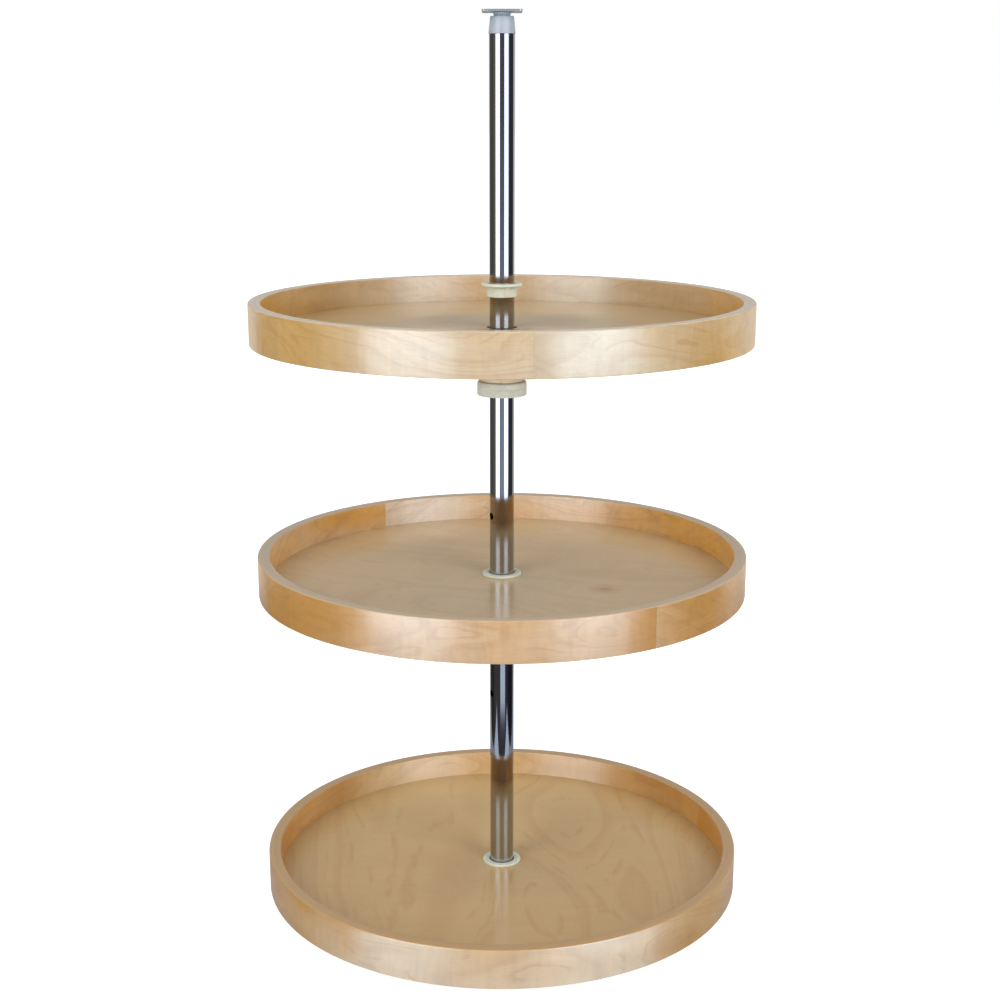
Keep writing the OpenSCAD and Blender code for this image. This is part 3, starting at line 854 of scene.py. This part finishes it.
class PANTRY_OT_draw_post(bpy.types.Operator):
    """Draws the chrome tube and drills its cross holes"""

    bl_idname = "pantry.draw_post"
    bl_label = "Draw post"

    def execute(self, context):
        sizes = context.scene.pantry_post
        radius, foot, head = extents("post_tube")
        bore = radius - sizes.wall
        ease = sizes.end_ease
        bm = turned([(bore, foot, ease), (radius, foot, ease),
                     (radius, head, ease), (bore, head, ease)], sizes.steps)
        tube = to_object("chrome_post", bm, "Chrome plate")
        heights = [sum(extents(f"{shelf}_pin")[1:]) / 2 for shelf in SHELVES]
        heights.append(low("middle_floor_panel").z - sizes.lower_spare)
        heights.append(low("top_floor_panel").z - sizes.upper_spare)
        cutter = bmesh.new()
        reach = Matrix.Rotation(sizes.pin_turn, 3, "Z") @ Vector((2 * radius, 0.0, 0.0))
        for height in heights:
            middle = Vector((0.0, 0.0, height))
            add_rod(cutter, sizes.hole_radius, middle - reach, middle + reach)
        drill(tube, cutter)
        self.smooth_round(tube.data)
        dress(tube, "post_tube")
        return {"FINISHED"}

    def smooth_round(self, mesh):
        """Gives the tube's round walls true radial normals, also beside its holes."""
        normals = []
        for loop in mesh.loops:
            given = mesh.corner_normals[loop.index].vector
            spot = mesh.vertices[loop.vertex_index].co
            radial = Vector((spot.x, spot.y, 0.0)).normalized()
            lean = given.dot(radial)
            normals.append(radial * math.copysign(1.0, lean) if abs(lean) > 0.99 else given)
        mesh.normals_split_custom_set(normals)


class PANTRY_OT_mould_bushes(bpy.types.Operator):
    """Moulds the flanged bushes"""

    bl_idname = "pantry.mould_bushes"
    bl_label = "Mould bushes"

    def execute(self, context):
        sizes = context.scene.pantry_fittings
        bore = high("post_tube").x + sizes.bore_play
        body = bore + sizes.bush_wall
        bevel = sizes.flange_bevel
        for shelf, node, flange, foot, crown in each_shelf("bush"):
            seat = crown - sizes.flange_height
            bm = turned([(bore, foot, 0.0), (body, foot, sizes.bush_wall / 2),
                         (body, seat, 0.0), (flange, seat, bevel / 3),
                         (flange, crown, bevel), (bore, crown, bevel)], 2 * sizes.bush_ribs)
            sink_ribs(bm, sizes.bush_ribs, sizes.bush_rib_depth,
                      lambda radius, up: abs(radius - body) < TOUCH and up < seat + TOUCH)
            dress(to_object(f"{shelf}_flanged_bush", bm, "Natural nylon"), node)
        return {"FINISHED"}


class PANTRY_OT_mould_collars(bpy.types.Operator):
    """Moulds the knurled collars that sit on the cross pins"""

    bl_idname = "pantry.mould_collars"
    bl_label = "Mould collars"

    def execute(self, context):
        sizes = context.scene.pantry_fittings
        turned_by = context.scene.pantry_post.pin_turn
        bore, race_in, race_out = bore_and_race(sizes)
        for shelf, node, radius, foot, crown in each_shelf("collar"):
            waist = foot + (crown - foot) * WAIST
            groove = sizes.knurl_depth * GROOVE
            bed = crown - sizes.race_depth
            bm = turned([(bore, foot, SMALL_EDGE), (radius, foot, sizes.collar_ease / 2),
                         (radius, waist, 0.0), (radius - groove, waist + groove, 0.0),
                         (radius, waist + 2 * groove, 0.0), (radius, crown, sizes.collar_ease),
                         (race_out, crown, SMALL_EDGE), (race_out, bed, 0.0),
                         (race_in, bed, 0.0), (race_in, crown, SMALL_EDGE),
                         (bore, crown, SMALL_EDGE)], 2 * sizes.knurl_ribs)
            sink_ribs(bm, sizes.knurl_ribs, sizes.knurl_depth,
                      lambda out, up: out > radius - TOUCH and up < waist + TOUCH)
            piece = to_object(f"{shelf}_knurled_collar", bm, "Pale nylon")
            pin_low, pin_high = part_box(f"{shelf}_pin")
            thick = pin_high.z - pin_low.z
            height = thick + 2 * sizes.run_play
            across = 2 * (pin_high.x - thick / 2 * math.sin(turned_by)) / math.cos(turned_by)
            drop = 2 * OVERSHOOT
            slot = bmesh.new()
            add_bar(slot, (across, height, height + drop),
                    Matrix.Translation((0.0, 0.0, pin_high.z - (height + drop) / 2))
                    @ Matrix.Rotation(turned_by, 4, "Z"))
            dress(drill(piece, slot), node)
        return {"FINISHED"}


class PANTRY_OT_mould_hubs(bpy.types.Operator):
    """Moulds the hubs under the boards"""

    bl_idname = "pantry.mould_hubs"
    bl_label = "Mould hubs"

    def execute(self, context):
        sizes = context.scene.pantry_fittings
        bore, race_in, race_out = bore_and_race(sizes)
        relief = bore + sizes.hub_relief
        barrel, land = sizes.barrel_radius, sizes.hub_land
        for shelf, node, flange, foot, crown in each_shelf("hub"):
            bed = foot + sizes.race_depth
            under = crown - sizes.hub_flange
            bm = turned([(bore, foot, SMALL_EDGE), (race_in, foot, 0.0), (race_in, bed, 0.0),
                         (race_out, bed, 0.0), (race_out, foot, 0.0), (barrel, foot, BARREL_EDGE),
                         (barrel, under, HUB_EDGE), (flange, under, HUB_EDGE),
                         (flange, crown, 0.0), (bore, crown, SMALL_EDGE),
                         (bore, crown - land, 0.0), (relief, crown - land, 0.0),
                         (relief, foot + land, 0.0), (bore, foot + land, 0.0)], TURNED_STEPS)
            piece = to_object(f"{shelf}_hub_barrel", bm, "Amber nylon")
            holes = bmesh.new()
            for index in range(sizes.screws):
                angle = math.radians(45) + index * FULL_TURN / sizes.screws
                x, y = math.cos(angle) * sizes.screw_circle, math.sin(angle) * sizes.screw_circle
                add_rod(holes, sizes.screw_hole, (x, y, under - 2 * OVERSHOOT),
                        (x, y, crown + 2 * OVERSHOOT), SCREW_STEPS)
            dress(drill(piece, holes), node)
        return {"FINISHED"}


def at_end(bm, end):
    """Moves a piece drawn from the cap's narrow end, pointing up, to an end of the post."""
    if end == "floor":
        bmesh.ops.scale(bm, vec=(1.0, 1.0, -1.0), verts=bm.verts)
        bmesh.ops.translate(bm, vec=(0.0, 0.0, low("bottom_cap").z), verts=bm.verts)
        bmesh.ops.reverse_faces(bm, faces=bm.faces)
    else:
        bmesh.ops.translate(bm, vec=(0.0, 0.0, high("top_cap").z), verts=bm.verts)
    return bm


class PANTRY_OT_mould_ends(bpy.types.Operator):
    """Moulds the caps and the ribbed pivots at the post's ends"""

    bl_idname = "pantry.mould_ends"
    bl_label = "Mould caps and pivots"

    def execute(self, context):
        sizes = context.scene.pantry_ends
        cap_height = high("top_cap").z - high("post_tube").z
        for end, cap_node in (("floor", "bottom_cap"), ("ceiling", "top_cap")):
            bm = at_end(self.cap(sizes, context.scene.pantry_post, cap_height), end)
            dress(to_object(f"{end}_end_cap", bm, "Cap plastic"), cap_node)
            bm = at_end(self.pivot(sizes), end)
            dress(to_object(f"{end}_ribbed_pivot", bm, "Pivot plastic"), f"{end}_pivot")
        return {"FINISHED"}

    def cap(self, sizes, post, cap_height):
        radius = high("post_tube").x
        wide = radius + sizes.cap_lip
        narrow = wide - sizes.cap_draw
        spigot = radius - post.wall - CAP_GAP
        depth = high("top_cap").z - low("top_cap").z
        bore = sizes.shank_radius + SHANK_GAP
        seat = CAP_GAP - cap_height
        return turned([(bore, -depth, SMALL_EDGE), (spigot, -depth, SPIGOT_EDGE),
                       (spigot, seat, 0.0), (wide, seat, SMALL_EDGE),
                       (narrow, 0.0, sizes.cap_edge), (bore, 0.0, FINE_EDGE)], TURNED_STEPS)

    def pivot(self, sizes):
        """A shank with a blind bore, and a head whose grooves are sunk between its ribs."""
        foot = high("ceiling_pivot").z - high("top_cap").z - sizes.head_height
        crown = foot + sizes.head_height
        head = high("ceiling_pivot").x - sizes.head_flare
        deep = low("ceiling_pivot").z - high("top_cap").z
        bottom = crown - sizes.rivet_reach
        steps = 8
        bm = turned([(0.0, deep, 0.0), (sizes.shank_radius, deep, SHANK_EDGE),
                     (sizes.shank_radius, foot, 0.0), (head, foot, FINE_EDGE),
                     (head + sizes.head_flare, crown, SMALL_EDGE),
                     (sizes.rivet_bore, crown, FINE_EDGE), (sizes.rivet_bore, bottom, 0.0),
                     (0.0, bottom, 0.0)], steps * sizes.ribs)
        bmesh.ops.remove_doubles(bm, verts=bm.verts, dist=1e-6)
        side = sizes.shank_radius + SHANK_EDGE
        sink_ribs(bm, sizes.ribs, sizes.rib_depth,
                  lambda out, up: out >= side and up >= foot, steps, (3, 4, 5))
        return bm


def rise(edge):
    return abs(edge.verts[0].co.z - edge.verts[1].co.z)


class PANTRY_OT_stamp_plates(bpy.types.Operator):
    """Stamps the square mounting plates"""

    bl_idname = "pantry.stamp_plates"
    bl_label = "Stamp plates"

    def execute(self, context):
        sizes = context.scene.pantry_ends
        for end in ("floor", "ceiling"):
            node = f"{end}_plate"
            below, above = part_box(node)
            size = above - below
            bm = bmesh.new()
            add_bar(bm, size, Matrix.Translation((below + above) / 2))
            upright = [edge for edge in bm.edges if rise(edge) > size.z / 2]
            round_off(bm, upright, sizes.plate_corner, 8, "EDGES")
            rim = [edge for edge in bm.edges if rise(edge) < TOUCH]
            round_off(bm, rim, sizes.plate_edge, 2, "EDGES")
            piece = to_object(f"{end}_mounting_plate", bm, "Zinc plate")
            dress(drill(piece, self.holes(sizes, end, below.z, above.z)), node)
        return {"FINISHED"}

    def holes(self, sizes, end, foot, crown):
        cutter = bmesh.new()
        half = sizes.hole_pitch / 2
        for x, y in ((-half, -half), (half, -half), (half, half), (-half, half)):
            add_rod(cutter, sizes.plate_hole, (x, y, foot - OVERSHOOT),
                    (x, y, crown + OVERSHOOT), PLATE_STEPS)
        face, inward = (foot, 1.0) if end == "floor" else (crown, -1.0)
        sink = sizes.rivet_head - sizes.rivet_hole
        bore = bmesh.new()
        middle = Matrix.Translation((0.0, 0.0, face + inward * (sink - OVERSHOOT) / 2))
        flip = Matrix.Identity(4) if end == "floor" else Matrix.Rotation(math.pi, 4, "X")
        bmesh.ops.create_cone(bore, cap_ends=True, cap_tris=False, segments=RIVET_STEPS,
                              radius1=sizes.rivet_head + OVERSHOOT, radius2=sizes.rivet_hole,
                              depth=sink + OVERSHOOT, matrix=middle @ flip)
        add_rod(bore, sizes.rivet_hole, (0, 0, foot - OVERSHOOT), (0, 0, crown + OVERSHOOT),
                RIVET_STEPS)
        mesh = bpy.data.meshes.new("bore")
        bore.to_mesh(mesh)
        bore.free()
        cutter.from_mesh(mesh)
        bpy.data.meshes.remove(mesh)
        return cutter


class PANTRY_OT_plate_hardware(bpy.types.Operator):
    """Gives the carried-over hardware its metal and plastic"""

    bl_idname = "pantry.plate_hardware"
    bl_label = "Plate hardware"

    def execute(self, context):
        finishes = {"bearing_steel": "Bright steel", "zinc_plate": "Zinc plate",
                    "cap_plastic": "Cap plastic"}
        for name, node in frame["nodes"].items():
            if node.hide_render:
                continue
            node.data.materials.clear()
            node.data.materials.append(bpy.data.materials[finishes[SLOT_OF[name]]])
        return {"FINISHED"}


# ---- Studio ----


def facing(turn_z, distance, height):
    """A place at that direction from the camera's side of the post, to the right if positive."""
    return Vector((math.sin(turn_z) * distance, -math.cos(turn_z) * distance, height))


# What reflections show round the unit: (share of the way round, red, green, blue). 0.5 is
# towards the camera. Before the first and after the last stands the backdrop.
WALLS = (
    (0.095, 0.607, 0.75, 0.857), (0.115, 0.119, 0.119, 0.111), (0.25, 0.119, 0.111, 0.102),
    (0.31, 0.226, 0.195, 0.155), (0.44, 0.187, 0.17, 0.238), (0.60, 0.17, 0.162, 0.238),
    (0.70, 0.0512, 0.0512, 0.062), (0.82, 0.0512, 0.0512, 0.058), (0.845, 0.714, 0.714, 0.714),
)
# The card before the camera: (how steeply down it is looked at, red, green, blue).
CARD = (
    (0.0, 0.12, 0.108, 0.142), (0.03, 0.187, 0.17, 0.25), (0.05, 0.187, 0.17, 0.25),
    (0.11, 0.274, 0.345, 0.428), (0.26, 0.405, 0.488, 0.607), (0.29, 0.785, 0.916, 1.12),
    (0.352, 0.785, 0.916, 1.12), (0.36, 0.0476, 0.0416, 0.0476),
)
WHITE = (1.0, 1.0, 1.0, 1.0)


def mirrored_studio(sketch, studio, around, z):
    """The studio in reflections: its walls, the card before the camera, and less high up."""
    backdrop = (studio.backdrop,) * 3
    walls = sketch.stops(around, ((0.0, *backdrop), (0.085, *backdrop), *WALLS,
                                  (0.865, *backdrop), (1.0, *backdrop)))
    down = sketch.times(z, -1.0)
    on_card = sketch.times(sketch.ramp(around, 0.455, 0.465),
                           sketch.ramp(around, 0.58, 0.59, 1.0, 0.0))
    dusk = sketch.ramp(down, 0.265, 0.31, 1.0, 0.35)
    shown = sketch.blend(on_card, sketch.shade(walls, dusk), sketch.stops(down, CARD))
    return sketch.shade(shown, sketch.ramp(z, 0.07, 0.15, 1.0, studio.high_share))


def matt_studio(sketch, studio, angle, z):
    """The studio's brightness on matt surfaces, which is low behind the unit's lower part."""
    aside = sketch.maths("ABSOLUTE", angle)
    beside = sketch.ramp(aside, math.radians(60), math.radians(110), studio.surround,
                         studio.side_light)
    behind = sketch.ramp(aside, math.radians(115), math.radians(145))
    behind_low = sketch.times(behind, sketch.ramp(z, 0.3, 0.6, 1.0, 0.0))
    matt = sketch.times(beside, sketch.ramp(behind_low, 0.0, 1.0, 1.0, studio.behind_low))
    return sketch.triple(matt, matt, matt)


class PANTRY_OT_set_stage(bpy.types.Operator):
    """Sets the camera, the softboxes, the floor and the backdrop"""

    bl_idname = "pantry.set_stage"
    bl_label = "Set stage"

    def execute(self, context):
        studio = context.scene.pantry_studio
        context.scene.view_settings.view_transform = "Standard"
        self.camera(context.scene, studio)
        for side, hand in (("left", -1.0), ("right", 1.0)):
            edge, core, core_width, foot = (getattr(studio, f"{side}_{setting}") for setting in (
                "edge_turn", "core_turn", "core_width", "shine_foot"))
            self.softbox(f"{side}_softbox", studio, hand * studio.light_turn,
                         studio.light_width, studio.light, studio.light_foot)
            self.softbox(f"{side}_edge", studio, edge, studio.edge_width, studio.shine_edge,
                         foot, nearer=0.05)
            self.softbox(f"{side}_core", studio, core, core_width, studio.shine, foot,
                         nearer=0.1)
        self.floor()
        self.surround(context.scene, studio)
        return {"FINISHED"}

    def camera(self, scene, studio):
        data = bpy.data.cameras.new("camera")
        data.lens = studio.lens
        data.sensor_width = SENSOR
        data.shift_y = studio.shift
        camera = bpy.data.objects.new("camera", data)
        camera.location = (studio.camera_side, -studio.camera_back, studio.camera_height)
        camera.rotation_euler = (math.pi / 2 - studio.camera_pitch, 0.0, 0.0)
        scene.collection.objects.link(camera)
        scene.camera = camera

    def softbox(self, name, studio, angle, width, radiance, foot, nearer=0.0):
        """A softbox for matt surfaces, or one that is nearer and shows only in reflections."""
        for_shine = nearer > 0.0
        top = studio.shine_top if for_shine else studio.light_top
        light = bpy.data.lights.new(name, "AREA")
        if for_shine:
            light.color = studio.shine_tint
        light.shape = "RECTANGLE"
        light.size = width
        light.size_y = top - foot
        light.energy = radiance * math.pi * light.size * light.size_y
        height = (top + foot) / 2
        box = bpy.data.objects.new(name, light)
        box.location = facing(angle, studio.box_distance - nearer, height)
        aim = Vector((0.0, 0.0, height)) - box.location
        box.rotation_euler = aim.to_track_quat("-Z", "Y").to_euler()
        box.visible_camera = False
        box.visible_diffuse = not for_shine
        box.visible_glossy = for_shine
        bpy.context.scene.collection.objects.link(box)

    def floor(self):
        """Lit white paper. Reflections show a pale table on it, under the unit, instead."""
        bm = bmesh.new()
        bmesh.ops.create_circle(bm, cap_ends=True, segments=96, radius=60.0)
        sketch = new_material("Studio floor")
        path = sketch.node("LightPath").outputs
        x, y, _ = sketch.split(sketch.object_place())
        radius = sketch.node("VectorMath", {0: sketch.triple(x, y, 0.0)},
                             operation="LENGTH").outputs["Value"]
        glow = sketch.times(sketch.ramp(radius, 0.45, 1.6, 0.88, 1.0), sketch.seen(path))
        lit = sketch.node("BsdfDiffuse", {"Color": (0.4, 0.4, 0.4, 1.0)}).outputs[0]
        own = sketch.node("Emission", {"Strength": glow}).outputs[0]
        paper = sketch.node("AddShader", {0: lit, 1: own}).outputs[0]
        on_table = sketch.times(
            sketch.maths("LESS_THAN", sketch.maths("ABSOLUTE", x), 0.6),
            sketch.maths("GREATER_THAN", y, -0.5))
        table = sketch.node("Emission", {
            "Color": (0.7, 0.78, 0.95, 1.0),
            "Strength": sketch.ramp(y, -0.22, -0.12, 1.0, 0.5)}).outputs[0]
        beyond = sketch.node("BsdfTransparent").outputs[0]
        mirrored = sketch.node("MixShader", {
            0: on_table, 1: beyond, 2: table}).outputs[0]
        lifted = sketch.maths("MAXIMUM", path["Is Glossy Ray"], path["Is Shadow Ray"])
        whole = sketch.node("MixShader", {0: lifted, 1: paper, 2: mirrored}).outputs[0]
        sketch.node("OutputMaterial", {"Surface": whole})
        to_object("studio_floor", bm, "Studio floor")

    def surround(self, scene, studio):
        """White to the eye and through clear pieces, and the studio to everything else."""
        world = bpy.data.worlds.new("studio")
        scene.world = world
        sketch = open_nodes(world)
        path = sketch.node("LightPath").outputs
        x, y, z = sketch.split(sketch.node("TexCoord").outputs["Generated"])
        angle = sketch.maths("ARCTAN2", x, sketch.times(y, -1.0))
        around = sketch.maths("MULTIPLY_ADD", angle, 1 / FULL_TURN, 0.5)
        reached = sketch.blend(path["Is Glossy Ray"], matt_studio(sketch, studio, angle, z),
                               mirrored_studio(sketch, studio, around, z))
        background = sketch.node("Background", {
            "Color": sketch.blend(sketch.seen(path), reached, WHITE), "Strength": 1.0})
        sketch.node("OutputWorld", {"Surface": background.outputs[0]})
        world.cycles.sampling_method = "NONE"


# ---- Add-on ----


STEPS = (
    PANTRY_OT_mix_finishes,
    PANTRY_OT_bend_hoops,
    PANTRY_OT_cut_boards,
    PANTRY_OT_draw_post,
    PANTRY_OT_mould_bushes,
    PANTRY_OT_mould_collars,
    PANTRY_OT_mould_hubs,
    PANTRY_OT_mould_ends,
    PANTRY_OT_stamp_plates,
    PANTRY_OT_plate_hardware,
    PANTRY_OT_set_stage,
)


class PANTRY_PT_steps(bpy.types.Panel):
    """Lists the steps that make the unit"""

    bl_label = "Rotating pantry shelves"
    bl_idname = "PANTRY_PT_steps"
    bl_space_type = "VIEW_3D"
    bl_region_type = "UI"
    bl_category = "Pantry"

    def draw(self, context):
        for step in STEPS:
            self.layout.operator(step.bl_idname)


SETTINGS = {
    "pantry_shelves": ShelfSizes,
    "pantry_post": PostSizes,
    "pantry_fittings": FittingSizes,
    "pantry_ends": EndSizes,
    "pantry_finishes": Finishes,
    "pantry_studio": StudioSettings,
}


def register():
    for name, group in SETTINGS.items():
        for attribute, setting in group.__annotations__.items():
            setting.keywords["name"] = attribute.replace("_", " ").capitalize()
        bpy.utils.register_class(group)
        setattr(bpy.types.Scene, name, PointerProperty(type=group))
    for step in STEPS:
        bpy.utils.register_class(step)
    bpy.utils.register_class(PANTRY_PT_steps)


def unregister():
    bpy.utils.unregister_class(PANTRY_PT_steps)
    for step in reversed(STEPS):
        bpy.utils.unregister_class(step)
    for name, group in SETTINGS.items():
        delattr(bpy.types.Scene, name)
        bpy.utils.unregister_class(group)


def main():
    register()
    for step in STEPS:
        family, action = step.bl_idname.split(".")
        getattr(getattr(bpy.ops, family), action)()
    bpy.context.view_layer.update()


if __name__ == "__main__":
    main()
